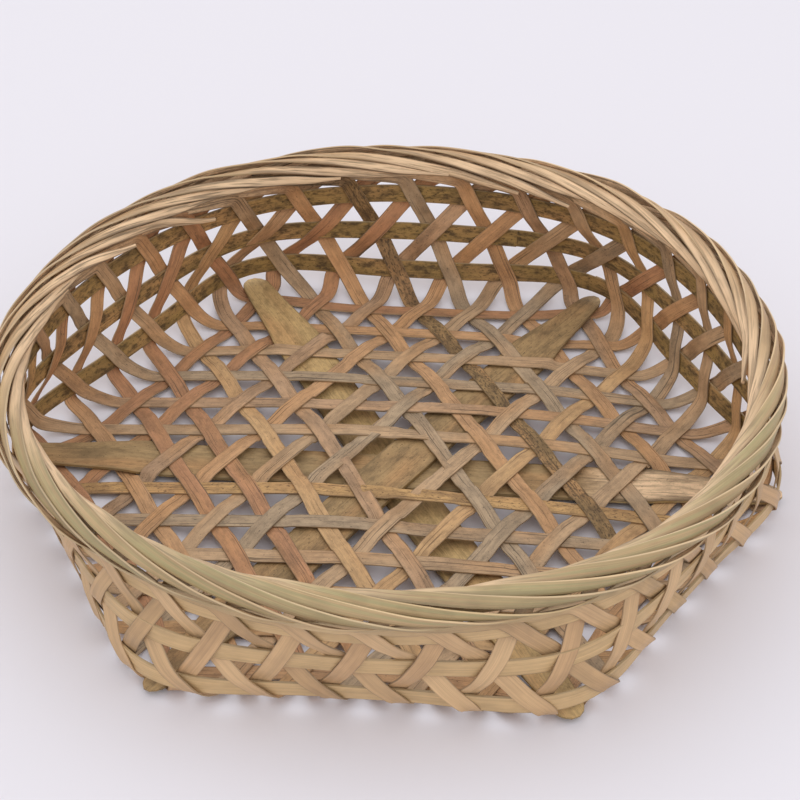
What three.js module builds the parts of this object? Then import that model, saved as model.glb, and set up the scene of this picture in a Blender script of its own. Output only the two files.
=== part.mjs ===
// A zaru: a wide open basket of split bamboo, woven in three directions, in millimetres.
// The floor is a hexagon of flat strips lying at sixty degrees to each other. Past its edge
// every strip bends up and leans, and the leaning strips cross three hoops that run round
// the wall. At the top the strips that lean one way lie down as a core, and those that lean
// the other way wrap round it and make the rope-like rim. Three wide slats stiffen the floor
// from corner to corner.

import * as THREE from 'three';

// The strips and the floor that they weave
const stripWidth = 7.8;
const stripThick = 0.7;
const crossingGap = 0.4;
const rowPitch = 21.9;
const rowsEachSide = 6;
const floorDome = 8;
const cornerSharpness = 12;
const bendReach = 5;
const bendShares = [0.36, 0.68];
const bendRiseShare = 0.8;

// The wall, from the edge of the floor to the middle of the rim
const rimHeight = 65.5;
const rimOverhang = 23.65;
const footOverhang = 6.6;
const wallInset = 1.2;
const wallFlare = 0.57;

// The three hoops, each a strip with lapped ends
const hoopWidth = 9;
const hoopThick = 1.1;
const hoopGap = 0.5;
const hoopEdgeGap = 0.7;
const lowerHoopHeight = 11.4;
const upperHoopDrop = 15.5;
const hoopLapSteps = 3;
const hoopLapPlaces = [4, 7, 20];

// The slats under the floor. Heights are those of a slat's middle above the foot of the wall.
const slatWidth = 23.2;
const slatTipWidth = 6;
const slatThick = 2.4;
const slatTipThick = 1.7;
const slatStandOut = 7.2;
const slatFlat = 26;
const slatDipLevel = 2.3;
const slatCrestLevel = 3.3;
const slatTipLevel = 2.25;
const baseClearance = 0.2;
const slatShares = [0.151, 0.3, 0.45, 0.6, 0.71, 0.76, 0.84, 0.91, 0.955, 0.998];

// The rim: a wrapping of strips round a core of strips, measured from the rope's middle
const wrapRadius = 6.3;
const wrapWidth = 5.3;
const wrapSwingShare = 1.45;
const wrapShares = [0.065, 0.115, 0.18, 0.272, 0.387, 0.516, 0.645, 0.774, 0.889, 1];
const coreWidth = 4.8;
const coreInlet = 3.44;
const coreInletDrop = 4.6;
const coreInner = 2.6;
const coreOuter = 1.2;
const coreDrop = 0.4;
const coreSag = 0.6;
const coreInletShare = 0.079;
const coreLaidShare = 0.164;
const coreShares = [0.321, 0.643, 1];

// Angles, in degrees: the lean of the strips from hoop to hoop, and the windings of the rim
const nodeAngle = 60 / rowsEachSide;
const leanAngle = 6.4;
const leanBackAngle = nodeAngle - leanAngle;
const wrapStartAngle = -98;
const wrapPitch = 4.2;
const wrapEndAngle = 195;
const wrapTiltAngle = 22;
const wrapSettleAngle = 18;
const wrapNarrowAngle = 12;
const swingStartAngle = 6;
const swingEndAngle = 24;
const coreRunAngle = 28;

const radians = THREE.MathUtils.degToRad;
const mix = THREE.MathUtils.lerp;
const ease = THREE.MathUtils.smoothstep;
const up = new THREE.Vector3(0, 0, 1);

const layerStep = stripThick + crossingGap;
const nodeSpacing = 2 * rowPitch / Math.sqrt(3);
const floorReach = rowPitch * (rowsEachSide + 0.5);
const footReach = floorReach + footOverhang;
const rimRadius = floorReach + rimOverhang;
const slatReach = floorReach * 2 / Math.sqrt(3) + slatStandOut;
const slatDipReach = nodeSpacing * (rowsEachSide - 2);
const slatShoulder = nodeSpacing * (rowsEachSide - 1.4);
const slatCrestReach = nodeSpacing * (rowsEachSide - 1.2);
const slatTipStart = nodeSpacing * (rowsEachSide + 0.1);
const baseLift = layerStep + stripThick / 2 + baseClearance;
const hoopOffset = (hoopThick + stripThick) / 2 + hoopGap;
const hoopSpacing = (rimHeight - upperHoopDrop - lowerHoopHeight) / 2;
const hoopHeights = [0, 1, 2].map((row) => lowerHoopHeight + row * hoopSpacing);

// The three directions of the weave. Cross strips keep the middle layer, and the other two
// take turns above and below them.
const directions = [
  { name: 'cross_strip', heading: 0, slat: 'base_slat_across' },
  { name: 'right_lean_strip', heading: 60, slat: 'base_slat_right' },
  { name: 'left_lean_strip', heading: -60, slat: 'base_slat_left' },
];
for (const way of directions) {
  way.along = turned(way.heading);
  way.across = turned(way.heading + 90);
}

// A level unit vector at an angle from the x axis
function turned(angle) {
  return new THREE.Vector3(Math.cos(radians(angle)), Math.sin(radians(angle)), 0);
}

// A flat strip as one closed body. Each ring across it has a centre, the side that points to
// the left of its run, its half width along that side, and its half thickness.
function stripSolid(rings) {
  const places = [];
  const triangles = [];
  rings.forEach((ring, index) => {
    const before = rings[Math.max(index - 1, 0)].centre;
    const after = rings[Math.min(index + 1, rings.length - 1)].centre;
    const run = after.clone().sub(before).normalize();
    const face = ring.face ?? run.clone().cross(ring.side).normalize();
    const square = face.clone().cross(run).normalize();
    const slant = Math.abs(square.dot(ring.side));
    for (const [left, top] of [[1, 1], [-1, 1], [-1, -1], [1, -1]]) {
      const corner = ring.centre.clone();
      corner.addScaledVector(ring.side, left * ring.halfWidth / slant);
      corner.addScaledVector(face, top * ring.halfThick);
      places.push(corner);
    }
    if (index === 0) return;
    const here = 4 * index;
    const last = here - 4;
    for (let corner = 0; corner < 4; corner += 1) {
      const next = (corner + 1) % 4;
      const [a, b, c, d] = [last + corner, last + next, here + next, here + corner];
      if (places[a].distanceTo(places[c]) < places[b].distanceTo(places[d])) {
        triangles.push(a, b, c, a, c, d);
      } else {
        triangles.push(a, b, d, b, c, d);
      }
    }
  });
  const end = 4 * (rings.length - 1);
  triangles.push(2, 1, 0, 3, 2, 0, end, end + 1, end + 2, end, end + 2, end + 3);
  const geometry = new THREE.BufferGeometry().setFromPoints(places);
  geometry.setIndex(triangles);
  geometry.computeVertexNormals();
  return geometry;
}

// How far a floor point lies from the middle, measured square to the sides of a hexagon with
// rounded corners. A smaller sharpness rounds the corners more.
function hexagonReach(x, y) {
  let sum = 0;
  for (let side = 0; side < 6; side += 1) {
    const outward = turned(30 + 60 * side);
    sum += Math.max(0, outward.x * x + outward.y * y) ** cornerSharpness;
  }
  return sum ** (1 / cornerSharpness);
}

// The floor is a shallow dome that comes down to its edge
function floorLevel(x, y) {
  return floorDome * Math.max(0, 1 - (x * x + y * y) / (floorReach * floorReach));
}

// The wall starts on the rounded hexagon of the floor and is a circle at the rim
function wallRadius(angle, height) {
  const out = turned(angle);
  const footRadius = footReach / hexagonReach(out.x, out.y);
  return mix(footRadius, rimRadius - wallInset, Math.max(height / rimHeight, 0) ** wallFlare);
}

function wallPlace(angle, height) {
  return turned(angle).multiplyScalar(wallRadius(angle, height)).setZ(height);
}

// A place on the wall near a hoop, measured from the hoop's middle up the slope of the wall
// and inwards, with the level direction along the hoop
function wallFrame(angle, row, climb, inset) {
  const height = hoopHeights[row];
  const turn = nodeAngle / 8;
  const rise = wallPlace(angle, height + hoopWidth / 2);
  rise.sub(wallPlace(angle, height - hoopWidth / 2)).normalize();
  const side = wallPlace(angle + turn, height).sub(wallPlace(angle - turn, height)).normalize();
  const face = rise.clone().cross(side).normalize();
  const centre = wallPlace(angle, height).addScaledVector(rise, climb);
  centre.addScaledVector(face, inset);
  return { centre, side, face, rise };
}

// Half the thickness and width of a slat, by the distance from the basket's middle
function slatHalfThick(reach) {
  return mix(slatThick, slatTipThick, ease(reach, slatFlat, slatShoulder)) / 2;
}

function slatHalfWidth(reach) {
  const taper = Math.max(0, reach - slatShoulder) / (slatReach - slatShoulder);
  return mix(slatWidth, slatTipWidth, taper) / 2;
}

// The height of the middle of a slat above the foot of the wall: it is flat at the stack of
// three, and its ends come up through the weave
function slatLevel(slatLayer, reach) {
  const stacked = -baseLift + slatThick / 2 + slatLayer * (slatThick + crossingGap);
  const dipped = mix(stacked, slatDipLevel, ease(reach, slatFlat, slatDipReach));
  const raised = mix(dipped, slatCrestLevel, ease(reach, slatDipReach, slatCrestReach));
  return mix(raised, slatTipLevel, ease(reach, slatCrestReach, slatTipStart));
}

// Bottom to top, the slats lie in the order left, across, right
const slatLayers = [1, 2, 0];

// The rows of the three directions that meet at a floor node
function rowsAt(place) {
  return directions.map((way) => Math.round(place.dot(way.across) / rowPitch));
}

// Above or below: 1 for the top layer, 0 for the middle and -1 for the bottom
function layerOf(way, crossRow) {
  const turn = crossRow % 2 === 0 ? 1 : -1;
  return [0, turn, -turn][way];
}

// How a strip lies where it passes a floor node: the slat that it crosses there, if any, and
// its height near the node
function floorNode(way, node) {
  const rows = rowsAt(node);
  const slat = rows.indexOf(0);
  const layer = layerOf(way, rows[0]);
  if (slat < 0) {
    return { slat, level: (x, y) => floorLevel(x, y) + layer * layerStep };
  }
  const above = layer > layerOf(3 - way - slat, rows[0]) ? 1 : -1;
  const outside = node.length() > (rowsEachSide - 1.5) * nodeSpacing;
  const { along } = directions[slat];
  const level = (x, y) => {
    const reach = Math.abs(x * along.x + y * along.y);
    const clear = slatHalfThick(reach) + crossingGap + stripThick / 2 + layerStep / 2;
    const middle = slatLevel(slatLayers[slat], reach);
    const dome = floorLevel(x, y);
    const pair = outside ? Math.min(dome, middle - clear) : Math.max(dome, middle + clear);
    return pair + above * layerStep / 2;
  };
  return { slat, level };
}

// A ring of a floor strip, tilted with the floor along its side
function floorRing(centre, side, level) {
  const tip = stripWidth / 2;
  const rise = level(centre.x + side.x * tip, centre.y + side.y * tip)
    - level(centre.x - side.x * tip, centre.y - side.y * tip);
  return {
    centre: centre.clone().setZ(level(centre.x, centre.y)),
    side: side.clone().setZ(rise / stripWidth).normalize(),
    halfWidth: stripWidth / 2,
    halfThick: stripThick / 2,
  };
}

// The rings of one strip over the floor, from its first node to its last
function floorRings(way, row) {
  const { along, across } = directions[way];
  const steps = 2 * rowsEachSide - Math.abs(row);
  const flatReach = (stripWidth / 2) * Math.sqrt(3);
  const rings = [];
  for (let step = 0; step <= steps; step += 1) {
    const node = across.clone().multiplyScalar(row * rowPitch);
    node.addScaledVector(along, (step - steps / 2) * nodeSpacing);
    const { level, slat } = floorNode(way, node);
    let reach = flatReach;
    let side = across;
    if (slat >= 0 && node.length() < (rowsEachSide - 0.5) * nodeSpacing) {
      side = directions[slat].along.clone();
      if (side.dot(across) < 0) side.negate();
      const half = slatHalfWidth(node.length()) + crossingGap;
      reach = Math.max(flatReach, half * 2 / Math.sqrt(3));
    }
    const slatNear = [-1, 0, 1].some((stepAway) => {
      const beside = node.clone().addScaledVector(along, stepAway * nodeSpacing);
      return rowsAt(beside).includes(0);
    });
    const onePlace = way === 0 && !slatNear && step > 0 && step < steps;
    for (const end of onePlace ? [0] : [-1, 1]) {
      const centre = node.clone().addScaledVector(along, end * reach);
      rings.push(floorRing(centre, side, level));
    }
  }
  return rings;
}

// A strip's end that lies left of its own run leans clockwise, and the other anticlockwise
function leanOf(row, end) {
  return row * end > 0 ? 1 : -1;
}

// The angle round the basket at which a strip's end crosses the lower hoop
function footAngle(way, row, end) {
  const heading = directions[way].heading + (end > 0 ? 0 : 180);
  return heading + leanOf(row, end) * nodeAngle * (Math.abs(row) - 0.5);
}

// The rings that carry a strip from its last floor ring round the edge and past the hoops.
// Strips pass inside one hoop and outside the next.
function wallRings(way, row, end) {
  const lean = leanOf(row, end);
  const heading = directions[way].heading + (end > 0 ? 0 : 180);
  const foot = footAngle(way, row, end);
  const travel = turned(heading);
  const left = turned(heading + 90);
  const count = Math.abs(row);
  const lastNode = left.clone().multiplyScalar(lean * count * rowPitch);
  lastNode.addScaledVector(travel, (rowsEachSide - count / 2) * nodeSpacing);
  const { level } = floorNode(way, lastNode);
  const sized = { halfWidth: stripWidth / 2, halfThick: stripThick / 2 };
  const start = lastNode.clone().addScaledVector(travel, stripWidth / 2 * Math.sqrt(3));
  start.z = level(start.x, start.y);
  const hoopHalf = hoopWidth / 2 + hoopEdgeGap;
  const leanStep = lean > 0 ? -leanAngle : leanBackAngle;
  const rings = [];
  for (let hoop = 0; hoop < hoopHeights.length; hoop += 1) {
    const inside = (hoop % 2 === 0) === (lean < 0);
    const inset = inside ? hoopOffset : -hoopOffset;
    for (const climb of [-hoopHalf, hoopHalf]) {
      const angle = foot + leanStep * (hoop + climb / hoopSpacing);
      const { centre, side } = wallFrame(angle, hoop, climb, inset);
      rings.push({ centre, side, ...sized });
    }
  }
  // The bend at the floor's edge, on a curve that leaves the floor and meets the wall
  const arrive = rings[0];
  const edgeRun = Math.max(edgeDistance(start, travel), bendReach);
  const bend = new THREE.QuadraticBezierCurve3(
    start,
    start.clone().addScaledVector(travel, edgeRun).setZ(start.z * bendRiseShare),
    arrive.centre,
  );
  const bendRings = bendShares.map((share) => {
    const centre = bend.getPoint(share);
    const angle = THREE.MathUtils.radToDeg(Math.atan2(centre.y, centre.x));
    const side = left.clone().lerp(wallFrame(angle, 0, 0, 0).side, share).normalize();
    return { centre, side, ...sized };
  });
  return [...bendRings, ...rings];
}

// How far a run over the floor still goes before it meets the foot of the wall
function edgeDistance(start, travel) {
  const stride = stripWidth / 40;
  const place = start.clone();
  let run = 0;
  while (hexagonReach(place.x, place.y) <= floorReach) {
    place.addScaledVector(travel, stride);
    run += stride;
  }
  return run;
}

// A place in the cross section of the rim: outwards and upwards from the rope's middle
function rimPlace(angle, outward, upward) {
  return turned(angle).multiplyScalar(rimRadius + outward).setZ(rimHeight + upward);
}

// The end of a clockwise strip wraps round the core: out and under, up the outer side, over
// the top and down the inner side, where it is cut off
function wrapRings(topAngle) {
  const wrapRun = (wrapEndAngle - wrapStartAngle) / wrapPitch;
  return wrapShares.map((share) => {
    const run = share * wrapRun;
    const section = radians(wrapStartAngle + wrapPitch * run);
    const swing = mix(wrapSwingShare, 1, ease(run, swingStartAngle, swingEndAngle));
    const radius = wrapRadius * swing;
    const tilt = radians(mix(wrapStartAngle, wrapTiltAngle, ease(run, 0, wrapSettleAngle)));
    const angle = topAngle - run;
    const centre = rimPlace(angle, radius * Math.cos(section), radius * Math.sin(section));
    const outward = turned(angle);
    const sideAngle = section + Math.PI / 2 - tilt;
    const side = outward.clone().multiplyScalar(Math.cos(sideAngle));
    side.addScaledVector(up, Math.sin(sideAngle));
    const halfWidth = mix(stripWidth, wrapWidth, ease(run, 0, wrapNarrowAngle)) / 2;
    return { centre, side, halfWidth, halfThick: stripThick / 2 };
  });
}

// The end of an anticlockwise strip comes up inside the top hoop, lies down in the core, and
// drifts outwards as it runs on
function coreRings(topAngle) {
  const stations = [
    { share: coreInletShare, outward: -coreInlet, drop: coreInletDrop, laid: 0.4 },
    { share: coreLaidShare, outward: -coreInner, drop: coreDrop + coreSag, laid: 0.9 },
  ];
  for (const share of coreShares) {
    const drift = (share - coreLaidShare) / (1 - coreLaidShare);
    stations.push({ share, outward: mix(-coreInner, coreOuter, drift), drop: coreDrop, laid: 1 });
  }
  return stations.map(({ share, outward, drop, laid }) => {
    const angle = topAngle + share * coreRunAngle;
    const side = turned(angle + 90).multiplyScalar(1 - laid);
    return {
      centre: rimPlace(angle, outward, -drop),
      side: side.addScaledVector(up, -laid).normalize(),
      halfWidth: mix(stripWidth, coreWidth, laid) / 2,
      halfThick: stripThick / 2,
    };
  });
}

// The whole of one strip, from its end in the rim over the floor to its other end
function wovenStrip(way, row) {
  const finish = [];
  for (const end of [-1, 1]) {
    const foot = footAngle(way, row, end);
    const rim = leanOf(row, end) > 0
      ? wrapRings(foot - 2 * leanAngle)
      : coreRings(foot + 2 * leanBackAngle);
    finish.push([...wallRings(way, row, end), ...rim]);
  }
  const [back, front] = finish;
  back.forEach((ring) => ring.side.negate());
  return stripSolid([...back.reverse(), ...floorRings(way, row), ...front]);
}

// A hoop: one strip bent round the wall, with a ring at each crossing and between, and thin
// ends that lap over one step of the crossings
function hoopSolid(row, lapStep) {
  const halfStep = nodeAngle / 2;
  const first = nodeAngle * (lapStep + 0.5) - row * (leanAngle - nodeAngle / 2);
  const turns = 360 / halfStep;
  const thin = (hoopThick - crossingGap) / 4;
  const shift = hoopThick / 2 - thin;
  const rings = [];
  for (let turn = 0; turn <= turns + hoopLapSteps; turn += 1) {
    const angle = first + turn * halfStep;
    const under = turn <= hoopLapSteps;
    const over = turn >= turns;
    const inset = under ? shift : over ? -shift : 0;
    const { centre, face, rise } = wallFrame(angle, row, 0, inset);
    const halfThick = under || over ? thin : hoopThick / 2;
    rings.push({ centre, face, side: rise.negate(), halfWidth: hoopWidth / 2, halfThick });
  }
  return stripSolid(rings);
}

// A slat: thick and flat in the middle, thinner and narrower towards its two ends
function slatSolid(way) {
  const { along, across } = directions[way];
  const back = slatShares.map((share) => -share).reverse();
  const rings = [...back, ...slatShares].map((share) => {
    const run = share * slatReach;
    const reach = Math.abs(run);
    const centre = along.clone().multiplyScalar(run);
    centre.z = slatLevel(slatLayers[way], reach);
    const halfWidth = slatHalfWidth(reach);
    return { centre, side: across, halfWidth, halfThick: slatHalfThick(reach) };
  });
  return stripSolid(rings);
}

const finishes = {
  strip: new THREE.MeshStandardMaterial({ color: '#a8865f', roughness: 0.62, metalness: 0 }),
  hoop: new THREE.MeshStandardMaterial({ color: '#8a7448', roughness: 0.55, metalness: 0 }),
  slat: new THREE.MeshStandardMaterial({ color: '#8f8058', roughness: 0.6, metalness: 0 }),
};

const basket = new THREE.Group();
function addPiece(name, geometry, finish) {
  const piece = new THREE.Mesh(geometry, finishes[finish].clone());
  piece.name = name;
  piece.position.z = baseLift;
  basket.add(piece);
}

directions.forEach((direction, way) => {
  let count = 0;
  for (let row = -rowsEachSide; row <= rowsEachSide; row += 1) {
    if (row === 0) continue;
    count += 1;
    const name = `${direction.name}_${String(count).padStart(2, '0')}`;
    addPiece(name, wovenStrip(way, row), 'strip');
  }
  addPiece(direction.slat, slatSolid(way), 'slat');
});
['lower_hoop', 'middle_hoop', 'upper_hoop'].forEach((name, row) => {
  addPiece(name, hoopSolid(row, hoopLapPlaces[row]), 'hoop');
});

export default basket;
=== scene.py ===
import math
import random

import bpy
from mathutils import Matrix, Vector


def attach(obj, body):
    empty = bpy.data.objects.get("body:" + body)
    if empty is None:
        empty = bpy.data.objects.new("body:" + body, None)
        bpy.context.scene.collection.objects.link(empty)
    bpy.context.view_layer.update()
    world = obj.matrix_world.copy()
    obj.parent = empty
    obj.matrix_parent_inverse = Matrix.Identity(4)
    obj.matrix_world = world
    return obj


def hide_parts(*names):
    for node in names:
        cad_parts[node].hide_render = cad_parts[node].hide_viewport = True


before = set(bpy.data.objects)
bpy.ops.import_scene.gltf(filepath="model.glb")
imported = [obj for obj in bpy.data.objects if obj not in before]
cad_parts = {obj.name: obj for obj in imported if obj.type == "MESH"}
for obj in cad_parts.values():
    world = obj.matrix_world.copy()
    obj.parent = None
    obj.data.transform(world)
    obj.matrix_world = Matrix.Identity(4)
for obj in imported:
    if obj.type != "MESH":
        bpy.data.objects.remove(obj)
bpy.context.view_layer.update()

# The camera stands in front of the basket, a little to the right, and looks down into it
# with a long lens. Places are in metres, and the lens is in millimetres.
camera_place = Vector((0.0812, -0.8521, 0.6776))
camera_aim = Vector((-0.0741, 0.8006, -0.5945))
camera_lens = 108.6
camera_film_width = 36

camera_data = bpy.data.cameras.new("camera")
camera_data.lens = camera_lens
camera_data.sensor_width = camera_film_width
camera = bpy.data.objects.new("camera", camera_data)
camera.location = camera_place
camera.rotation_euler = camera_aim.to_track_quat("-Z", "Y").to_euler()
bpy.context.collection.objects.link(camera)
bpy.context.scene.camera = camera
bpy.context.scene.view_settings.view_transform = "Standard"

# The basket stands on a plain pale table top, in the soft light of a small photo studio:
# an even pale room, and two wide lamps, high above the far left side and the near side.
table_colour = (0.745, 0.722, 0.782, 1)
table_roughness = 0.7
table_reach = 3.0
room_level = 0.98
lamp_size = 1.8
lamps = {
    "far_lamp": (Vector((-0.5, 0.45, 1.9)), 4),
    "near_lamp": (Vector((0.5, -1.5, 1.7)), 9),
}

table_mesh = bpy.data.meshes.new("table_top")
table_signs = ((-1, -1), (1, -1), (1, 1), (-1, 1))
table_corners = [(x * table_reach, y * table_reach, 0) for x, y in table_signs]
table_mesh.from_pydata(table_corners, [], [(0, 1, 2, 3)])
table_top = bpy.data.objects.new("table_top", table_mesh)
bpy.context.collection.objects.link(table_top)
table_finish = bpy.data.materials.new("pale_table")
table_finish.use_nodes = True
table_shader = table_finish.node_tree.nodes["Principled BSDF"]
table_shader.inputs["Base Color"].default_value = table_colour
table_shader.inputs["Roughness"].default_value = table_roughness
table_mesh.materials.append(table_finish)

room = bpy.data.worlds.new("room")
room.use_nodes = True
room.node_tree.nodes["Background"].inputs["Color"].default_value = (1, 1, 1, 1)
room.node_tree.nodes["Background"].inputs["Strength"].default_value = room_level
bpy.context.scene.world = room
for name, (place, power) in lamps.items():
    lamp_data = bpy.data.lights.new(name, "AREA")
    lamp_data.size = lamp_size
    lamp_data.energy = power
    lamp = bpy.data.objects.new(name, lamp_data)
    lamp.location = place
    lamp.rotation_euler = (-place).to_track_quat("-Z", "Y").to_euler()
    bpy.context.collection.objects.link(lamp)

# Three slats of thick split bamboo lie crossed under the floor, each from corner to corner.
# They are cut with a knife to blade-like tips, which come up through the outermost rows of
# the weave and poke out under the lowest hoop. Sizes are in millimetres.
mm = 0.001
strip_width = 7.8
strip_thick = 0.7
crossing_gap = 0.2
row_pitch = 21.9
rows_each_side = 6
slat_width = 23.2
slat_tip_widths = [12, 9.5, 12.5]
slat_thick = 2.4
slat_tip_thick = 1.7
slat_stand_out = 9
slat_flat = 26
slat_dip_level = 2.3
slat_crest_level = 3.3
slat_tip_level = 2.25
slat_tip_round = 7
slat_tip_fullness = 0.8
slat_tip_roundness = 0.9
slat_tip_thinness = 0.5
slat_worn_start = 55
slat_worn_end = 105
slat_worn_ages = [2, 0, 0]
base_clearance = 0.2
slat_station = 2
merge_distance = 0.001
noise_stride = 17.3
noise_roughness = 0.6
bump_strength = 0.6
sharp_angle = 50
slat_layers = [1, 2, 0]
slat_first_seed = 40
slat_relief = 0.3
headings = [0, 60, -60]

layer_step = strip_thick + crossing_gap
node_spacing = 2 * row_pitch / math.sqrt(3)
floor_reach = row_pitch * (rows_each_side + 0.5)
slat_reach = floor_reach * 2 / math.sqrt(3) + slat_stand_out
slat_dip_reach = node_spacing * (rows_each_side - 2)
slat_shoulder = node_spacing * (rows_each_side - 1.4)
slat_crest_reach = node_spacing * (rows_each_side - 1.2)
slat_tip_start = node_spacing * (rows_each_side + 0.1)
base_lift = layer_step + strip_thick / 2 + base_clearance
up = Vector((0, 0, 1))


def mix(low, high, share):
    return low + (high - low) * share


def ease(value, low, high):
    share = min(max((value - low) / (high - low), 0), 1)
    return share * share * (3 - 2 * share)


def turned(angle):
    return Vector((math.cos(math.radians(angle)), math.sin(math.radians(angle)), 0))


def slat_half_thick(reach):
    return mix(slat_thick, slat_tip_thick, ease(reach, slat_flat, slat_shoulder)) / 2


def slat_half_width(way, reach):
    taper = max(0, reach - slat_shoulder) / (slat_reach - slat_shoulder)
    return mix(slat_width, slat_tip_widths[way], taper**slat_tip_fullness) / 2


def slat_level(layer, reach):
    stacked = -base_lift + slat_thick / 2 + layer * (slat_thick + crossing_gap)
    dipped = mix(stacked, slat_dip_level, ease(reach, slat_flat, slat_dip_reach))
    raised = mix(dipped, slat_crest_level, ease(reach, slat_dip_reach, slat_crest_reach))
    return mix(raised, slat_tip_level, ease(reach, slat_crest_reach, slat_tip_start))


# Adds one node to a tree. A socket is given a plain value or another node's output.
def add_node(tree, kind, sockets=None, **settings):
    node = tree.nodes.new(kind)
    for name, value in settings.items():
        setattr(node, name, value)
    for name, value in (sockets or {}).items():
        if isinstance(value, bpy.types.NodeSocket):
            tree.links.new(value, node.inputs[name])
        else:
            node.inputs[name].default_value = value
    return node


def maths(tree, operation, *values):
    return add_node(tree, "ShaderNodeMath", dict(enumerate(values)), operation=operation).outputs[0]


def times(tree, first, second):
    return maths(tree, "MULTIPLY", first, second)


def vector_maths(tree, operation, *values):
    node = add_node(tree, "ShaderNodeVectorMath", operation=operation)
    for place, value in enumerate(values):
        socket = node.inputs["Scale"] if operation == "SCALE" and place == 1 else node.inputs[place]
        if isinstance(value, bpy.types.NodeSocket):
            tree.links.new(value, socket)
        else:
            socket.default_value = value
    return node.outputs[0]


# Sweeps a flat section with softly rounded edges along a rail. The rail is a row of points
# that carry the section's directions and half sizes, and the two end points close the piece.
def make_sweep():
    tree = bpy.data.node_groups.new("Sweep split bamboo", "GeometryNodeTree")
    sockets = tree.interface
    sockets.new_socket("Rail", in_out="INPUT", socket_type="NodeSocketGeometry")
    sockets.new_socket("Section Points", in_out="INPUT", socket_type="NodeSocketInt")
    sockets.new_socket("Edge Crispness", in_out="INPUT", socket_type="NodeSocketFloat")
    sockets.new_socket("Finish", in_out="INPUT", socket_type="NodeSocketMaterial")
    sockets.new_socket("Piece", in_out="OUTPUT", socket_type="NodeSocketGeometry")
    start = add_node(tree, "NodeGroupInput").outputs
    rail = start["Rail"]
    count = add_node(tree, "GeometryNodeAttributeDomainSize", {"Geometry": rail})
    columns = maths(tree, "ADD", start["Section Points"], 1)
    grid_counts = {"Vertices X": count.outputs["Point Count"], "Vertices Y": columns}
    grid = add_node(tree, "GeometryNodeMeshGrid", grid_counts)
    index = add_node(tree, "GeometryNodeInputIndex").outputs[0]
    station = maths(tree, "FLOOR", maths(tree, "DIVIDE", index, columns))
    corner = maths(tree, "ADD", maths(tree, "MODULO", index, columns), 0.5)
    turn = maths(tree, "DIVIDE", times(tree, corner, math.tau), start["Section Points"])

    def sampled(name, kind):
        if name == "position":
            field = add_node(tree, "GeometryNodeInputPosition").outputs[0]
        else:
            stored = add_node(tree, "GeometryNodeInputNamedAttribute", {"Name": name}, data_type=kind)
            field = stored.outputs[0]
        sample = add_node(tree, "GeometryNodeSampleIndex", data_type=kind, domain="POINT")
        tree.links.new(rail, sample.inputs["Geometry"])
        tree.links.new(field, sample.inputs["Value"])
        tree.links.new(station, sample.inputs["Index"])
        return sample.outputs[0]

    crispness = times(tree, start["Edge Crispness"], sampled("crisp_share", "FLOAT"))
    power = maths(tree, "DIVIDE", 2, crispness)
    squarish = []
    for wave in (maths(tree, "COSINE", turn), maths(tree, "SINE", turn)):
        size = maths(tree, "POWER", maths(tree, "ABSOLUTE", wave), power)
        squarish.append(times(tree, maths(tree, "SIGN", wave), size))
    across, through = squarish
    wide = times(tree, across, sampled("half_wide", "FLOAT"))
    thick = times(tree, through, sampled("half_thick", "FLOAT"))
    sideways = vector_maths(tree, "SCALE", sampled("side", "FLOAT_VECTOR"), wide)
    outwards = vector_maths(tree, "SCALE", sampled("face", "FLOAT_VECTOR"), thick)
    place = vector_maths(tree, "ADD", sampled("position", "FLOAT_VECTOR"), sideways)
    place = vector_maths(tree, "ADD", place, outwards)
    moved = {"Geometry": grid.outputs["Mesh"], "Position": place}
    shaped = add_node(tree, "GeometryNodeSetPosition", moved)
    offset = maths(tree, "DIVIDE", wide, mm)
    kept_values = {
        "lay": (sampled("run", "FLOAT"), offset, sampled("piece_seed", "FLOAT")),
        "section": (across, through, sampled("age", "FLOAT")),
    }
    geometry = shaped.outputs[0]
    for name, values in kept_values.items():
        vector = add_node(tree, "ShaderNodeCombineXYZ", dict(enumerate(values))).outputs[0]
        sockets = {"Geometry": geometry, "Name": name}
        store = add_node(tree, "GeometryNodeStoreNamedAttribute", sockets, data_type="FLOAT_VECTOR")
        tree.links.new(vector, store.inputs["Value"])
        geometry = store.outputs[0]
    joined = {"Geometry": geometry, "Distance": merge_distance * mm}
    closed = add_node(tree, "GeometryNodeMergeByDistance", joined)
    outward = add_node(tree, "GeometryNodeFlipFaces", {"Mesh": closed.outputs[0]})
    finish = {"Geometry": outward.outputs[0], "Material": start["Finish"]}
    dressed = add_node(tree, "GeometryNodeSetMaterial", finish)
    plain = add_node(tree, "GeometryNodeRealizeInstances", {"Geometry": dressed.outputs[0]})
    add_node(tree, "NodeGroupOutput", {"Piece": plain.outputs[0]})
    return tree


sweep = make_sweep()


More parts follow.
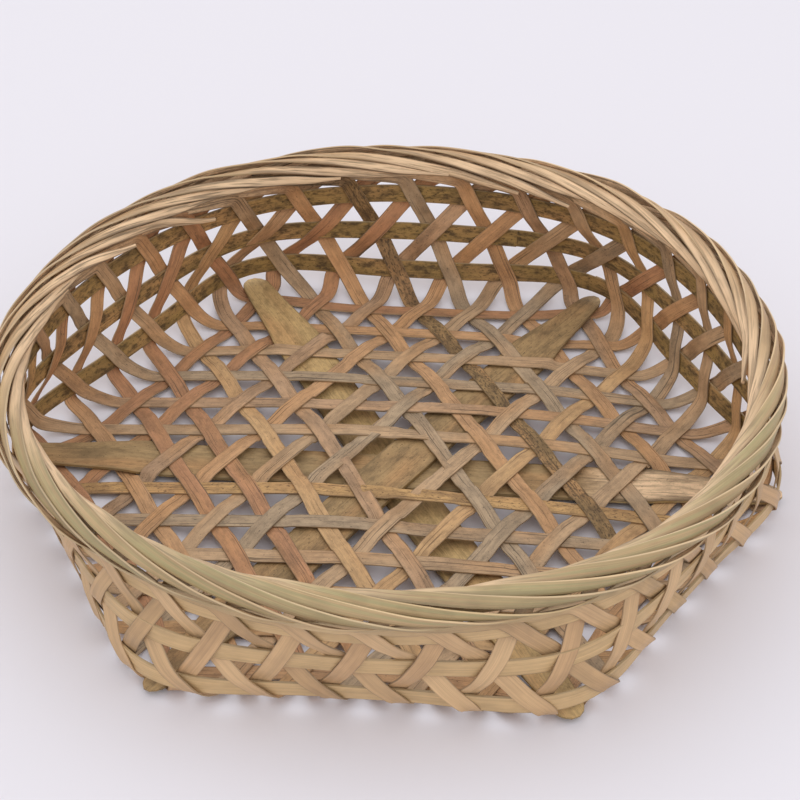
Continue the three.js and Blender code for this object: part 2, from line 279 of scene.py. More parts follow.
# Each station on a rail is a dictionary with its place, side, face, half width and half
# thickness in millimetres, and how aged the bamboo is there.
def swept_piece(name, stations, finish, seed, section_points=16, crispness=10):
    first, last = dict(stations[0]), dict(stations[-1])
    for cap in (first, last):
        cap["half_wide"] = cap["half_thick"] = 0
    rings = [first, *stations, last]
    rail_mesh = bpy.data.meshes.new(name)
    rail_mesh.from_pydata([ring["place"] * mm for ring in rings], [], [])
    run = 0
    runs = []
    for before, ring in zip([rings[0], *rings], rings):
        run += (ring["place"] - before["place"]).length
        runs.append(run)
    columns = {
        "run": runs,
        "half_wide": [ring["half_wide"] * mm for ring in rings],
        "half_thick": [ring["half_thick"] * mm for ring in rings],
        "age": [ring.get("age", 0) for ring in rings],
        "crisp_share": [ring.get("crisp_share", 1) for ring in rings],
        "piece_seed": [seed] * len(rings),
    }
    for column, values in columns.items():
        rail_mesh.attributes.new(column, "FLOAT", "POINT").data.foreach_set("value", values)
    for column in ("side", "face"):
        values = [number for ring in rings for number in ring[column]]
        rail_mesh.attributes.new(column, "FLOAT_VECTOR", "POINT").data.foreach_set("vector", values)
    piece = bpy.data.objects.new(name, rail_mesh)
    bpy.context.collection.objects.link(piece)
    modifier = piece.modifiers.new("sweep", "NODES")
    modifier.node_group = sweep
    settings = {"Section Points": section_points, "Edge Crispness": crispness, "Finish": finish}
    for item in sweep.interface.items_tree:
        if item.name in settings:
            modifier[item.identifier] = settings[item.name]
    evaluated = piece.evaluated_get(bpy.context.evaluated_depsgraph_get())
    mesh = bpy.data.meshes.new_from_object(evaluated)
    piece.modifiers.clear()
    piece.data = mesh
    bpy.data.meshes.remove(rail_mesh)
    mesh.name = name
    mesh.shade_smooth()
    mesh.set_sharp_from_angle(angle=math.radians(sharp_angle))
    return piece


def new_group(name, inputs, outputs):
    tree = bpy.data.node_groups.new(name, "ShaderNodeTree")
    for direction, sockets in (("INPUT", inputs), ("OUTPUT", outputs)):
        for label, kind in sockets.items():
            tree.interface.new_socket(label, in_out=direction, socket_type="NodeSocket" + kind)
    return tree, add_node(tree, "NodeGroupInput").outputs


def blend(tree, amount, base, layer, kind="MIX"):
    node = add_node(tree, "ShaderNodeMix", {"Factor": amount}, data_type="RGBA", blend_type=kind)
    for place, value in ((6, base), (7, layer)):
        if isinstance(value, bpy.types.NodeSocket):
            tree.links.new(value, node.inputs[place])
        else:
            node.inputs[place].default_value = value
    return node.outputs[2]


def stretch(tree, value, low, high, to_low=0.0, to_high=1.0):
    sockets = {"Value": value, "From Min": low, "From Max": high}
    sockets.update({"To Min": to_low, "To Max": to_high})
    return add_node(tree, "ShaderNodeMapRange", sockets).outputs[0]


# A noise that is drawn out along the fibres, and differs from piece to piece
def lay_noise(tree, along, across, detail, shift=0.0):
    lay = add_node(tree, "ShaderNodeAttribute", attribute_name="lay").outputs["Vector"]
    parts = add_node(tree, "ShaderNodeSeparateXYZ", {"Vector": lay})
    seed = maths(tree, "MULTIPLY_ADD", parts.outputs[2], noise_stride, shift)
    coordinates = {
        "X": times(tree, parts.outputs[0], along),
        "Y": times(tree, parts.outputs[1], across),
        "Z": seed,
    }
    vector = add_node(tree, "ShaderNodeCombineXYZ", coordinates).outputs[0]
    sockets = {"Vector": vector, "Scale": 1.0, "Detail": detail, "Roughness": noise_roughness}
    return add_node(tree, "ShaderNodeTexNoise", sockets).outputs[0]


# The dark stain colour darkens stains, spots, cracks and pores, and also paints the shade at the
# strips' side edges and between and under the rim's wraps
own_colours = ("Pith", "Skin", "Cut Edge", "Stain And Shade")
shared_colours = {
    "Wall Tint": "fcf0e2",
    "Bare Fibre": "e2c09a",
    "Fresh Skin": "9d946a",
    "Flush": "c2905f",
}
amounts = ("Age Cloud Amount", "Mottle Amount", "Spot Amount", "Crack Amount", "Edge Amount")


# Split bamboo: long fibres, broad streaks, cloudy ageing, small dark spots, a smooth skin on
# one face, a softer pith on the other, and pale knife-cut edges. It also paints shade at the strips'
# side edges and between and under the rim's wraps, and partly a highlight on the wraps' edges.
def make_bamboo():
    inputs = dict.fromkeys((*own_colours, *shared_colours), "Color")
    inputs.update(dict.fromkeys(amounts, "Float"))
    outputs = {"Colour": "Color", "Roughness": "Float", "Height": "Float"}
    tree, given = new_group("Split bamboo", inputs, outputs)
    fibre = lay_noise(tree, 0.03, 3.0, 3.0)
    streak = lay_noise(tree, 0.008, 0.55, 2.0, 3.1)
    cloud = lay_noise(tree, 0.045, 0.10, 3.0, 7.7)
    spot = lay_noise(tree, 0.55, 1.1, 2.0, 11.9)
    crack = lay_noise(tree, 0.02, 1.5, 2.0, 23.5)
    torn = lay_noise(tree, 0.04, 0.75, 2.0, 31.7)
    mottle = lay_noise(tree, 0.2, 0.42, 4.0, 41.3)
    pore = lay_noise(tree, 1.1, 2.6, 1.0, 53.9)
    drift = lay_noise(tree, 0.018, 0.06, 1.0, 61.1)

    # The skin and pith faces, the cut edges, and how far the strip has come: wall, rim, bare
    section = add_node(tree, "ShaderNodeAttribute", attribute_name="section").outputs["Vector"]
    across, through, age = add_node(tree, "ShaderNodeSeparateXYZ", {"Vector": section}).outputs
    aside = maths(tree, "ABSOLUTE", across)
    edge = stretch(tree, aside, 0.87, 0.96)
    skin = stretch(tree, through, 0.8, 0.4)
    pith_side = maths(tree, "SUBTRACT", 1, skin)
    wall = stretch(tree, age, 0.0, 1.0)
    rim = stretch(tree, age, 1.0, 2.0)
    bare = times(tree, rim, pith_side)
    bare = maths(tree, "MAXIMUM", bare, stretch(tree, age, 2.0, 3.0))
    covered = maths(tree, "SUBTRACT", 1, bare)

    # The base colours. On the near side of the rim the skin is still fresh.
    tinted = blend(tree, 1.0, given["Pith"], given["Wall Tint"], "MULTIPLY")
    weathered = times(tree, wall, stretch(tree, cloud, 0.3, 0.55, 0.5, 1.0))
    pith = blend(tree, weathered, given["Pith"], tinted)
    pith = blend(tree, stretch(tree, drift, 0.45, 0.68, 0.0, 0.55), pith, given["Flush"])
    colour = blend(tree, skin, pith, given["Skin"])
    place = add_node(tree, "ShaderNodeTexCoord").outputs["Object"]
    place = add_node(tree, "ShaderNodeSeparateXYZ", {"Vector": place}).outputs
    nearer = maths(tree, "MULTIPLY_ADD", place[0], -0.2, place[1])
    fresh = times(tree, stretch(tree, place[2], 0.052, 0.066), stretch(tree, nearer, 0.005, -0.08))
    fresh = times(tree, fresh, stretch(tree, streak, 0.35, 0.6, 0.25, 0.85))
    colour = blend(tree, times(tree, fresh, skin), colour, given["Fresh Skin"])
    colour = blend(tree, bare, colour, given["Bare Fibre"])

    # Fibres and streaks shade it, and bare fibre is split, most at the back left of the rim
    fine = stretch(tree, fibre, 0.3, 0.7, 0.0, 0.6)
    tone = maths(tree, "ADD", fine, stretch(tree, streak, 0.3, 0.7, 0.0, 0.4))
    shade = stretch(tree, tone, 0.0, 1.0, 0.74, 1.18)
    even = stretch(tree, tone, 0.0, 1.0, 0.84, 1.3)
    evened = times(tree, bare, maths(tree, "SUBTRACT", even, shade))
    shade = maths(tree, "ADD", shade, evened)
    rough = times(tree, stretch(tree, place[0], 0.03, -0.09), stretch(tree, place[1], -0.03, 0.05))
    deepest = stretch(tree, times(tree, rough, rim), 0.0, 1.0, 0.7, 0.45)
    split = maths(tree, "MAXIMUM", stretch(tree, torn, 0.38, 0.5, deepest, 1.0), covered)
    shade = times(tree, shade, split)
    grey = add_node(tree, "ShaderNodeCombineColor", dict.fromkeys(("Red", "Green", "Blue"), shade))
    colour = blend(tree, 1.0, colour, grey.outputs[0], "MULTIPLY")

    # Clouds of age, blotches, spots, cracks and pores, and dark side edges that are partly the strips'
    # own cut edges and partly painted shade
    aged = times(tree, stretch(tree, cloud, 0.45, 0.7), given["Age Cloud Amount"])
    aged = times(tree, aged, stretch(tree, skin, 0.0, 1.0, 1.0, 0.5))
    aged = times(tree, aged, stretch(tree, wall, 0.0, 1.0, 1.0, 1.15))
    blotch = times(tree, stretch(tree, mottle, 0.46, 0.64), given["Mottle Amount"])
    limit = stretch(tree, given["Spot Amount"], 0.0, 1.0, 0.75, 0.45)
    spotted = stretch(tree, maths(tree, "SUBTRACT", spot, limit), 0.0, 0.05, 0.0, 0.75)
    cracked = times(tree, stretch(tree, crack, 0.6, 0.66), given["Crack Amount"])
    worn = maths(tree, "MAXIMUM", spotted, cracked)
    pored = stretch(tree, pore, 0.57, 0.7, 0.0, 0.45)
    pored = times(tree, pored, stretch(tree, cloud, 0.4, 0.6, 0.3, 1.0))
    # Painted shade: off the rim the strips' side edges are darkened, partly for their darker cut edges
    # and partly for the shade where strips meet and cross
    rubbed_and_shaded_edge = times(tree, stretch(tree, aside, 0.88, 0.97), maths(tree, "SUBTRACT", 1, rim))
    rubbed_and_shaded_edge = times(tree, rubbed_and_shaded_edge, stretch(tree, crack, 0.35, 0.6, 0.2, 0.75))
    pith_stains = [times(tree, stain_and_painted_shade, pith_side) for stain_and_painted_shade in (blotch, worn, pored)]
    for stain_and_painted_shade in (aged, *pith_stains, rubbed_and_shaded_edge):
        colour = blend(tree, stain_and_painted_shade, colour, given["Stain And Shade"])

    # Pale cut edges, paler on the rim, where they partly paint a highlight along the wraps' edges, and
    # painted shade in the seams between the rim's wraps and on their lower sides
    # On the rim the pale cut edges are made stronger, so they are partly the cut edge's own colour and
    # partly a painted highlight along the wraps' edges
    pale_edge_and_highlight = times(tree, edge, maths(tree, "MULTIPLY_ADD", rim, 0.75, given["Edge Amount"]))
    pale_edge_and_highlight = times(tree, pale_edge_and_highlight, stretch(tree, bare, 0.0, 1.0, 1.0, 0.2))
    colour = blend(tree, pale_edge_and_highlight, colour, given["Cut Edge"])
    # Painted shade: the seams between the rim's bare wraps are darkened as if in shadow
    painted_seam_shade = times(tree, stretch(tree, aside, 0.7, 0.96, 0.0, 0.75), bare)
    # Painted shade: the lower side of each wrap's skin on the rim is darkened
    painted_lower_shade = times(tree, stretch(tree, across, 0.0, -0.95, 0.0, 0.3), times(tree, skin, rim))
    for stain_and_painted_shade in (painted_seam_shade, painted_lower_shade):
        colour = blend(tree, stain_and_painted_shade, colour, given["Stain And Shade"])

    # The skin is smoother, and the fibres and splits stand out
    roughness = stretch(tree, skin, 0.0, 1.0, 0.72, 0.52)
    roughness = maths(tree, "ADD", roughness, stretch(tree, fibre, 0.3, 0.7, -0.06, 0.06))
    height = maths(tree, "ADD", fibre, stretch(tree, streak, 0.0, 1.0, 0.0, 0.5))
    torn_height = times(tree, bare, stretch(tree, torn, 0.36, 0.5, 0.0, 2.0))
    height = maths(tree, "ADD", height, torn_height)
    add_node(tree, "NodeGroupOutput", {"Colour": colour, "Roughness": roughness, "Height": height})
    return tree


bamboo = make_bamboo()


# A screen colour in six hexadecimal digits as the plain light values that a shader takes
def rgb(text):
    parts = [int(text[place : place + 2], 16) / 255 for place in (0, 2, 4)]
    linear = [part / 12.92 if part < 0.04045 else ((part + 0.055) / 1.055) ** 2.4 for part in parts]
    return (*linear, 1)


# The colours are given in the order of own_colours, and the strengths in that of amounts
def bamboo_finish(name, colours, strengths, relief):
    finish = bpy.data.materials.new(name)
    finish.use_nodes = True
    tree = finish.node_tree
    surface = tree.nodes.new("ShaderNodeGroup")
    surface.node_tree = bamboo
    for label, colour in (*zip(own_colours, colours.split()), *shared_colours.items()):
        surface.inputs[label].default_value = rgb(colour)
    for label, strength in zip(amounts, strengths):
        surface.inputs[label].default_value = strength
    shader = tree.nodes["Principled BSDF"]
    bumps = {"Strength": bump_strength, "Distance": relief * mm, "Height": surface.outputs["Height"]}
    bump = add_node(tree, "ShaderNodeBump", bumps)
    tree.links.new(surface.outputs["Colour"], shader.inputs["Base Color"])
    tree.links.new(surface.outputs["Roughness"], shader.inputs["Roughness"])
    tree.links.new(bump.outputs["Normal"], shader.inputs["Normal"])
    return finish


slat_tones = {
    "across": ("straw", "a98c62 9d8052 cdb07c 5c482e", (0.55, 0.3, 0.3, 0.3, 0.2)),
    "right": ("olive", "a98a5f 967a4d bb9b6a 4d3b24", (0.6, 0.35, 0.35, 0.3, 0.2)),
    "left": ("khaki", "c3a26e 9a7f50 c4a672 66512f", (0.4, 0.35, 0.3, 0.3, 0.2)),
}


def slat_stations(way):
    along, across = turned(headings[way]), turned(headings[way] + 90)
    layer = slat_layers[way]
    stations = []
    count = round(2 * slat_reach / slat_station)
    for step in range(count + 1):
        run = mix(-slat_reach, slat_reach, step / count)
        reach = abs(run)
        slope = slat_level(layer, abs(run + 0.5)) - slat_level(layer, abs(run - 0.5))
        heading = (along + up * slope).normalized()
        rounding = min((slat_reach - reach) / slat_tip_round, 1)
        blunted = math.sqrt(1 - (1 - rounding) ** 2 * slat_tip_roundness)
        stations.append({
            "place": along * run + up * (base_lift + slat_level(layer, reach)),
            "side": across,
            "face": heading.cross(across),
            "half_wide": slat_half_width(way, reach) * blunted,
            "half_thick": slat_half_thick(reach) * mix(slat_tip_thinness, 1, rounding),
            "age": slat_worn_ages[way] * ease(run, slat_worn_start, slat_worn_end),
        })
    return stations


for way, (name, (tone, colours, strengths)) in enumerate(slat_tones.items()):
    finish = bamboo_finish("slat_" + tone, colours, strengths, slat_relief)
    slat = swept_piece("slat_" + name, slat_stations(way), finish, slat_first_seed + way)
    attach(slat, "root")
    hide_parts("base_slat_" + name)

# Thirty-six flat strips, twelve in each of three directions, are woven into the hexagonal
# floor. Past its edge every end bends up and leans, and crosses the hoops of the wall. The
# ends that lean one way lie down in the rim as its core, and the others wrap round them.
floor_dome = 8
corner_sharpness = 12
strip_station = 1.8
lean_angle = 6.4
bend_reach = 5
bend_rise_share = 0.8
corner_passes = 4
rim_height = 65.5
rim_overhang = 23.65
foot_overhang = 6.6
wall_inset = 1.2
wall_flare = 0.57
hoop_width = 9
hoop_thick = 1.1
hoop_gap = 0.5
hoop_edge_gap = 0.7
lower_hoop_height = 11.4
upper_hoop_drop = 15.5
strip_cracks = 0.85
strip_paleness = 0.1
strip_relief = 0.25

# The basket is made by hand, so its strips stray and waver, and their widths differ
strip_stray = 1.0
stray_wave = 55
strip_waver = 0.045
waver_wave = 24
waver_shift = 0.4
wander_rates = (1.0, 1.83, 3.1)
wander_stride = 3.7
wander_size = 2.2

# How far the corners are pushed out, between which reaches from the middle and which heights.
# Each swell of the rim has its bearing, its size and its spread in degrees.
corner_push = 8
corner_pointedness = 1.5
side_pull = 1.5
push_start = 125
push_end = 158
push_low = 14
push_high = 52
swells = [(0, -4.3, 32), (200, 2.4, 26), (52, 1.2, 18)]

# A wrap starts and ends at these angles round the rim's core, and turns by its pitch for each
# degree along the rim. All other angles are along the rim, from where the strip meets it.
rim_station_angle = 0.7
wrap_start_angle = -98
wrap_end_angle = 195
wrap_end_spread = 22
wrap_pitch = 4.2
wrap_radius = 6.3
wrap_width = 5.4
wrap_thick = 1.1
wrap_first_angle = 4.5
wrap_narrow_angle = 12
wrap_settle_angle = 18
wrap_swing_share = 1.2
swing_start_angle = 6
swing_end_angle = 24
wrap_tilt_angles = (16, 34)
wrap_looseness = 1.1
wrap_drift = 1.2
wrap_waver = 0.35
wrap_wave = 5
wrap_wave_choices = 20
wrap_trail_angle = 18
wrap_trail_slowing = 2.5
wrap_tip_width = 1.8
wrap_tip_angle = 9
wrap_springs = (0, 0, 0, 0, 1.2, 0, 4)
wrap_spring_angle = 13
wrap_torn_angle = 143
wrap_torn_reach = 13
wrap_torn_spring = 8
pared_start_angle = 42
pared_end_angle = 60
pared_width = 4.7
pared_thick = 1.5
pared_crisp_share = 0.45

# The core's path: degrees along the rim, outwards, downwards, and how far it has laid down
core_width = 6
core_bareness = 0.7
core_marks = [
    (1.4, -4.2, 6.6, 0.3),
    (4, -5.2, 5.0, 0.75),
    (9, -5.0, 3.6, 1),
    (16, -2.8, 1.2, 1),
    (28, 0, 0.4, 1),
]

node_angle = 60 / rows_each_side
lean_back_angle = node_angle - lean_angle
foot_reach = floor_reach + foot_overhang
rim_radius = floor_reach + rim_overhang
hoop_offset = (hoop_thick + strip_thick) / 2 + hoop_gap
hoop_spacing = (rim_height - upper_hoop_drop - lower_hoop_height) / 2
hoop_heights = [lower_hoop_height + row * hoop_spacing for row in range(3)]
strip_half = strip_width / 2
flat_reach = strip_half * math.sqrt(3)
edge_step = strip_half / 20
sides_out = [turned(30 + 60 * side) for side in range(6)]


# How far out a place is, towards the nearest side of a hexagon with rounded corners
def hexagon_reach(x, y):
    total = sum(max(0, side.x * x + side.y * y) ** corner_sharpness for side in sides_out)
    return total ** (1 / corner_sharpness)


def floor_level(x, y):
    return floor_dome * max(0, 1 - (x * x + y * y) / floor_reach**2)


def wall_radius(angle, height):
    out = turned(angle)
    foot = foot_reach / hexagon_reach(out.x, out.y)
    return mix(foot, rim_radius - wall_inset, max(height / rim_height, 0) ** wall_flare)


def wall_point(angle, height):
    return turned(angle) * wall_radius(angle, height) + up * height


# A place in the wall by one of the hoops, and the directions along the wall, inwards and up it
def wall_frame(angle, row, climb, inset):
    height = hoop_heights[row]
    turn = node_angle / 8
    above = wall_point(angle, height + hoop_width / 2)
    below = wall_point(angle, height - hoop_width / 2)
    rise = (above - below).normalized()
    side = (wall_point(angle + turn, height) - wall_point(angle - turn, height)).normalized()
    face = rise.cross(side).normalized()
    return wall_point(angle, height) + rise * climb + face * inset, side, face, rise


# The slats push the lower wall out at the six corners, and its sides draw in between them.
# The rim is not quite round either.
def pressed(place):
    reach = math.hypot(place.x, place.y)
    bearing = math.degrees(math.atan2(place.y, place.x))
    corner = (1 + math.cos(math.radians(6 * bearing))) / 2
    push = mix(-side_pull, corner_push, corner**corner_pointedness)
    push *= ease(reach, push_start, push_end) * (1 - ease(place.z, push_low, push_high))
    for angle, size, spread in swells:
        aside = abs((bearing - angle + 180) % 360 - 180)
        push += size * (1 - ease(aside, 0, 2 * spread)) * ease(place.z, push_low, push_high)
    return place + Vector((place.x, place.y, 0)) * (push / reach)


def rows_at(place):
    return [round(place.dot(turned(heading + 90)) / row_pitch) for heading in headings]


# The strips across keep the middle layer, and the others take turns above and below them
def layer_of(way, cross_row):
    turn = 1 if cross_row % 2 == 0 else -1
    return (0, turn, -turn)[way]


# How a strip lies at one place where the directions cross: which slat is there, and a
# function for its height about that place
def floor_node(way, node):
    rows = rows_at(node)
    layer = layer_of(way, rows[0])
    if 0 not in rows:
        return -1, lambda x, y: floor_level(x, y) + layer * layer_step
    slat = rows.index(0)
    above = 1 if layer > layer_of(3 - way - slat, rows[0]) else -1
    outside = node.length > (rows_each_side - 1.5) * node_spacing
    along = turned(headings[slat])

    def level(x, y):
        reach = abs(x * along.x + y * along.y)
        clear = slat_half_thick(reach) + crossing_gap + strip_thick / 2 + layer_step / 2
        middle = slat_level(slat_layers[slat], reach)
        dome = floor_level(x, y)
        pair = min(dome, middle - clear) if outside else max(dome, middle + clear)
        return pair + above * layer_step / 2

    return slat, level


# The places along a strip where it crosses others, with the length over which it stays level
def floor_nodes(way, row):
    along, across = turned(headings[way]), turned(headings[way] + 90)
    steps = 2 * rows_each_side - abs(row)
    nodes = []
    for step in range(steps + 1):
        run = (step - steps / 2) * node_spacing
        node = across * (row * row_pitch) + along * run
        slat, level = floor_node(way, node)
        reach, skew = flat_reach, 0
        if slat >= 0 and node.length < (rows_each_side - 0.5) * node_spacing:
            clear = slat_half_width(slat, node.length) + crossing_gap
            reach = max(flat_reach, clear * 2 / math.sqrt(3))
            edge = turned(headings[slat])
            skew = edge.dot(along) / edge.dot(across)
        nodes.append({"run": run, "reach": reach, "skew": skew, "level": level})
    return nodes


# The height at one place of a strip, which lies level at its crossings and slopes between them
def floor_height(way, row, nodes, run, aside):
    along, across = turned(headings[way]), turned(headings[way] + 90)
    place = across * (row * row_pitch + aside) + along * run
    last = max(spot for spot, node in enumerate(nodes) if node["run"] <= run or spot == 0)
    here, there = nodes[last], nodes[min(last + 1, len(nodes) - 1)]
    leaves = here["run"] + here["reach"] + here["skew"] * aside
    meets = there["run"] - there["reach"] + there["skew"] * aside
    if here is there:
        return here["level"](place.x, place.y)
    share = ease(run, leaves, meets)
    return mix(here["level"](place.x, place.y), there["level"](place.x, place.y), share)


# A smooth wandering value between about -1 and 1
def wander(value, seed):
    waves = [math.sin(value * rate + seed * (wander_stride + rate)) for rate in wander_rates]
    return sum(waves) / wander_size


def floor_stations(way, row, seed):
    along, across = turned(headings[way]), turned(headings[way] + 90)
    nodes = floor_nodes(way, row)
    reach = nodes[-1]["run"] + flat_reach
    count = round(2 * reach / strip_station)
    stations = []
    for step in range(count + 1):
        run = mix(-reach, reach, step / count)
        calm = ease(reach - abs(run), 0, node_spacing)
        stray = strip_stray * wander(run / stray_wave, seed) * calm
        left = floor_height(way, row, nodes, run, stray + strip_half)
        right = floor_height(way, row, nodes, run, stray - strip_half)
        waver = strip_waver * wander(run / waver_wave, seed + waver_shift) * calm
        stations.append({
            "place": across * (row * row_pitch + stray) + along * run + up * (left + right) / 2,
            "side": across + up * (left - right) / strip_width,
            "half_wide": strip_half * (1 + waver),
            "half_thick": strip_thick / 2,
            "age": 0,
            "crisp_share": 1,
        })
    return stations


# 1 for an end that leans to wrap the rim, and -1 for one that leans to join its core
def lean_of(row, end):
    return 1 if row * end > 0 else -1


# The bearing at which an end leaves the floor
def foot_angle(way, row, end):
    heading = headings[way] + (0 if end > 0 else 180)
    return heading + lean_of(row, end) * node_angle * (abs(row) - 0.5)


# How far it is from a place in the floor to its edge
def edge_distance(start, travel):
    place = start.copy()
    run = 0
    while hexagon_reach(place.x, place.y) <= floor_reach:
        run += edge_step
        place = start + travel * run
    return run


# The bend off the floor, and the climb past the hoops, inside one and outside the next
def wall_stations(way, row, end):
    lean = lean_of(row, end)
    heading = headings[way] + (0 if end > 0 else 180)
    travel, left = turned(heading), turned(heading + 90)
    last_node = left * (lean * abs(row) * row_pitch)
    last_node += travel * ((rows_each_side - abs(row) / 2) * node_spacing)
    start = last_node + travel * flat_reach
    start.z = floor_node(way, last_node)[1](start.x, start.y)
    lean_step = -lean_angle if lean > 0 else lean_back_angle
    half_share = (hoop_width / 2 + hoop_edge_gap) / hoop_spacing
    sized = {"half_wide": strip_half, "half_thick": strip_thick / 2, "age": 1, "crisp_share": 1}
    stations = []
    count = round((2 + 2 * half_share) * hoop_spacing / strip_station)
    for step in range(count + 1):
        climb = mix(-half_share, 2 + half_share, step / count)
        angle = foot_angle(way, row, end) + lean_step * climb
        lower = min(max(math.floor(climb), 0), 1)
        frames = []
        for hoop in (lower, lower + 1):
            inside = (hoop % 2 == 0) == (lean < 0)
            inset = hoop_offset if inside else -hoop_offset
            frames.append(wall_frame(angle, hoop, (climb - hoop) * hoop_spacing, inset))
        share = ease(climb - lower, half_share, 1 - half_share)
        (place, side, _, _), (next_place, next_side, _, _) = frames
        stations.append({
            "place": place.lerp(next_place, share),
            "side": side.lerp(next_side, share),
            **sized,
        })
    arrive = stations[0]["place"]
    reach = max(edge_distance(start, travel), bend_reach)
    handle = start + travel * reach
    handle.z = start.z * bend_rise_share
    bend = []
    bend_count = round((arrive - start).length / strip_station)
    for step in range(1, bend_count):
        share = step / bend_count
        place = start.lerp(handle, share).lerp(handle.lerp(arrive, share), share)
        angle = math.degrees(math.atan2(place.y, place.x))
        side = left.lerp(wall_frame(angle, 0, 0, 0)[1], share)
        bend.append({"place": place, "side": side, **sized, "age": share})
    return bend + stations


def rim_point(angle, outward, upward):
    return turned(angle) * (rim_radius + outward) + up * (rim_height + upward)


# A wrap winds round the core, trails off, and ends at a tip. Some tips spring out, and at the
# back left of the rim, where it is torn, all do.
def wrap_stations(top_angle, chance):
    end_angle = wrap_end_angle + chance.uniform(-1, 1) * wrap_end_spread
    final_tilt = chance.uniform(*wrap_tilt_angles)
    loose = chance.uniform(0, wrap_looseness)
    drift = chance.uniform(-1, 1) * wrap_drift
    wave = chance.uniform(0, wrap_wave_choices)
    spring = chance.choice(wrap_springs)
    wrap_run = (end_angle - wrap_start_angle) / wrap_pitch + wrap_trail_angle / wrap_trail_slowing
    torn_aside = turned(top_angle - wrap_run).angle(turned(wrap_torn_angle))
    if torn_aside < math.radians(wrap_torn_reach):
        spring = wrap_torn_spring
    count = round((wrap_run - wrap_first_angle) / rim_station_angle)
    stations = []
    for step in range(count + 1):
        run = mix(wrap_first_angle, wrap_run, step / count)
        settled = ease(run, swing_start_angle, swing_end_angle)
        pared = ease(run, pared_start_angle, pared_end_angle)
        tip = ease(run, wrap_run - wrap_tip_angle, wrap_run)
        trailed = max(run + wrap_trail_angle - wrap_run, 0)
        slowed = trailed**2 / (wrap_trail_slowing * wrap_trail_angle)
        section = math.radians(wrap_start_angle + wrap_pitch * (run - slowed))
        lift = loose * settled + wrap_waver * settled * wander(run / wrap_wave, wave)
        lift += spring * ease(run, wrap_run - wrap_spring_angle, wrap_run)
        radius = wrap_radius * mix(wrap_swing_share, 1, settled) + lift
        tilt = math.radians(mix(wrap_start_angle, final_tilt, ease(run, 0, wrap_settle_angle)))
        side_angle = section + math.pi / 2 - tilt
        angle = top_angle - run + drift * settled
        wrapped = mix(strip_width, wrap_width, ease(run, 0, wrap_narrow_angle))
        wide = mix(wrapped, pared_width, pared)
        stations.append({
            "place": rim_point(angle, radius * math.cos(section), radius * math.sin(section)),
            "side": turned(angle) * math.cos(side_angle) + up * math.sin(side_angle),
            "half_wide": mix(wide, wrap_tip_width, tip) / 2,
            "half_thick": mix(strip_thick, mix(wrap_thick, pared_thick, pared), settled) / 2,
            "age": 1 + settled + pared,
            "crisp_share": mix(1, pared_crisp_share, settled),
        })
    return stations


def core_stations(top_angle):
    stations = []
    for first, second in zip(core_marks, core_marks[1:]):
        count = max(round((second[0] - first[0]) / rim_station_angle), 1)
        for step in range(count + (second is core_marks[-1])):
            run, outward, drop, laid = [mix(a, b, step / count) for a, b in zip(first, second)]
            angle = top_angle + run
            stations.append({
                "place": rim_point(angle, outward, -drop),
                "side": turned(angle + 90) * (1 - laid) - up * laid,
                "half_wide": mix(strip_width, core_width, laid) / 2,
                "half_thick": strip_thick / 2,
                "age": 1 + laid * core_bareness,
                "crisp_share": 1,
            })
    return stations


# Fills long gaps between stations with more of them
def filled(stations):
    result = [stations[0]]
    for before, after in zip(stations, stations[1:]):
        count = max(round((after["place"] - before["place"]).length / strip_station), 1)
        for step in range(1, count + 1):
            share = step / count
            result.append({key: mix(before[key], after[key], share) for key in before})
    return result


# Rounds off the corners of a row of stations, which keeps its two ends
def eased_corners(stations, passes):
    for _ in range(passes):
        rounded = [dict(station) for station in stations]
        for index in range(1, len(stations) - 1):
            for key in ("place", "side"):
                beside = stations[index - 1][key] + stations[index + 1][key]
                rounded[index][key] = stations[index][key] * 0.5 + beside * 0.25
        stations = rounded
    return stations


# Turns each station's side square to the run, and finds the direction that its face looks in
def squared(stations):
    for index, station in enumerate(stations):
        before = stations[max(index - 1, 0)]["place"]
        after = stations[min(index + 1, len(stations) - 1)]["place"]
        run = (after - before).normalized()
        station["side"] = (station["side"] - run * station["side"].dot(run)).normalized()
        station["face"] = run.cross(station["side"])
    return stations


# The whole path of a strip, from its tip in the rim down over the floor and up to the other tip
def strip_stations(way, row, seed):
    chance = random.Random(seed)
    ends = []
    for end in (-1, 1):
        foot = foot_angle(way, row, end)
        if lean_of(row, end) > 0:
            rim = wrap_stations(foot - 2 * lean_angle, chance)
        else:
            rim = core_stations(foot + 2 * lean_back_angle)
        ends.append(wall_stations(way, row, end) + rim)
    back, front = ends
    for station in back:
        station["side"] = -station["side"]
    floor = floor_stations(way, row, seed)
    back = eased_corners(filled([floor[1], floor[0], *back]), corner_passes)[2:]
    front = eased_corners(filled([floor[-2], floor[-1], *front]), corner_passes)[2:]
    stations = [*reversed(back), *floor, *front]
    for station in stations:
        station["place"] = pressed(station["place"] + up * base_lift)
    return squared(stations)


strip_tones = {
    "rose": ("b88661 c6a077 dcbf96 5a4430", 0.4, 0.3, 0.25),
    "taupe": ("bb9776 bf9a72 d6ba94 564432", 0.4, 0.3, 0.3),
    "tan": ("c69a70 caa67c dfc298 664b33", 0.35, 0.25, 0.25),
    "greige": ("bf9e7b c5a279 dabf9a 5c4a36", 0.35, 0.25, 0.25),
    "grey": ("b2997c bb9870 d2b892 504436", 0.4, 0.3, 0.3),
    "honey": ("c9a274 ceab81 e2c69e 6c5036", 0.35, 0.3, 0.25),
    "ochre": ("c89f69 c7a479 d8bc90 5a412b", 0.5, 0.35, 0.5),
    "dark": ("96784f c2a074 d0b488 45331f", 0.55, 0.6, 0.7),
}
strip_finishes = {
    tone: bamboo_finish("strip_" + tone, colours, (*marks, strip_cracks, strip_paleness), strip_relief)
    for tone, (colours, *marks) in strip_tones.items()
}
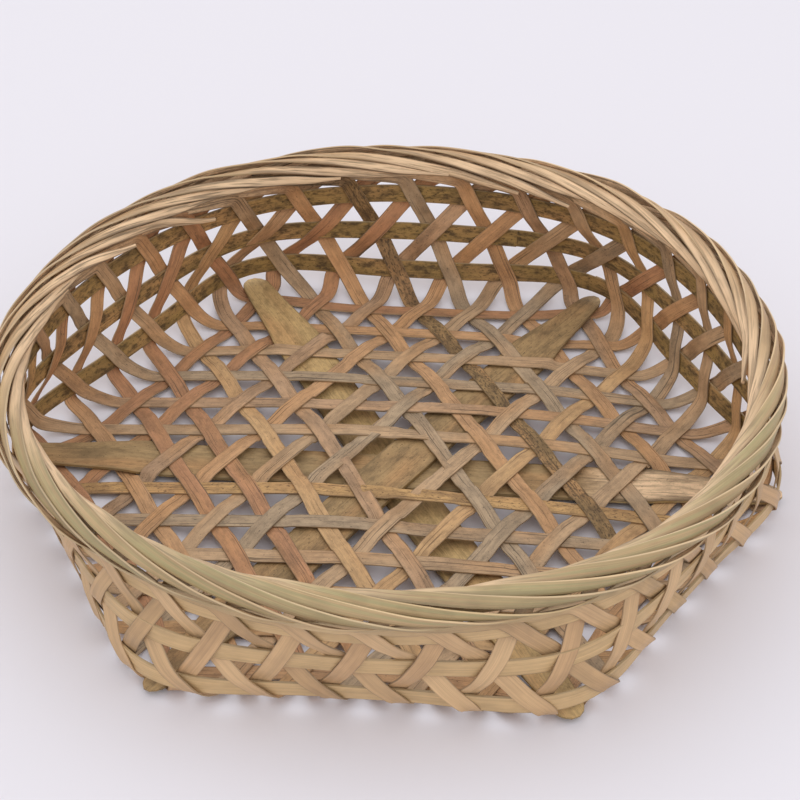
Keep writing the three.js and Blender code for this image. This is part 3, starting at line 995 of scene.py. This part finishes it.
strip_order = {
    "cross_strip": "tan honey greige greige grey ochre greige taupe grey greige tan rose",
    "right_lean_strip": "tan honey greige grey honey greige grey greige tan taupe rose rose",
    "left_lean_strip": "rose tan rose rose honey taupe grey tan dark grey tan taupe",
}
strip_rows = [row for row in range(-rows_each_side, rows_each_side + 1) if row != 0]
for way, (strip_name, tones) in enumerate(strip_order.items()):
    for count, (row, tone) in enumerate(zip(strip_rows, tones.split()), 1):
        seed = way * len(strip_rows) + count
        stations = strip_stations(way, row, seed)
        strip = swept_piece(f"woven_{strip_name}_{count:02d}", stations, strip_finishes[tone], seed)
        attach(strip, "root")
        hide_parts(f"{strip_name}_{count:02d}")

# Three hoops of whole split bamboo run round the wall, and the leaning strips cross them on
# both sides. Each is one strip whose thinned ends lap over each other.
hoop_lap_steps = 3
hoop_lap_places = {"lower_hoop": 4, "middle_hoop": 7, "upper_hoop": 20}
hoop_station_angle = 1.0
hoop_first_seed = 60
hoop_relief = 0.25


# One turn round the wall and a lap, with both ends thinned where they lie on each other
def hoop_stations(row, lap_step):
    half_step = node_angle / 2
    first = node_angle * (lap_step + 0.5) - row * (lean_angle - half_step)
    lap = hoop_lap_steps * half_step
    whole = 360 + lap
    thin = (hoop_thick - crossing_gap) / 4
    shift = hoop_thick / 2 - thin
    count = round(whole / hoop_station_angle)
    stations = []
    for step in range(count + 1):
        run = whole * step / count
        under = 1 - ease(run, lap, lap + half_step)
        over = ease(run, 360 - half_step, 360)
        place, _, face, rise = wall_frame(first + run, row, 0, shift * (under - over))
        stations.append({
            "place": pressed(place + up * base_lift),
            "side": -rise,
            "face": face,
            "half_wide": hoop_width / 2,
            "half_thick": mix(hoop_thick / 2, thin, max(under, over)),
        })
    return stations


hoop_strengths = (0.45, 0.85, 0.5, 0.5, 0.2)
hoop_finish = bamboo_finish("hoop_olive", "9b7b45 cbaa7c dcc094 46331a", hoop_strengths, hoop_relief)
for row, (name, lap_place) in enumerate(hoop_lap_places.items()):
    stations = hoop_stations(row, lap_place)
    hoop = swept_piece("bent_" + name, stations, hoop_finish, hoop_first_seed + row)
    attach(hoop, "root")
    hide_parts(name)
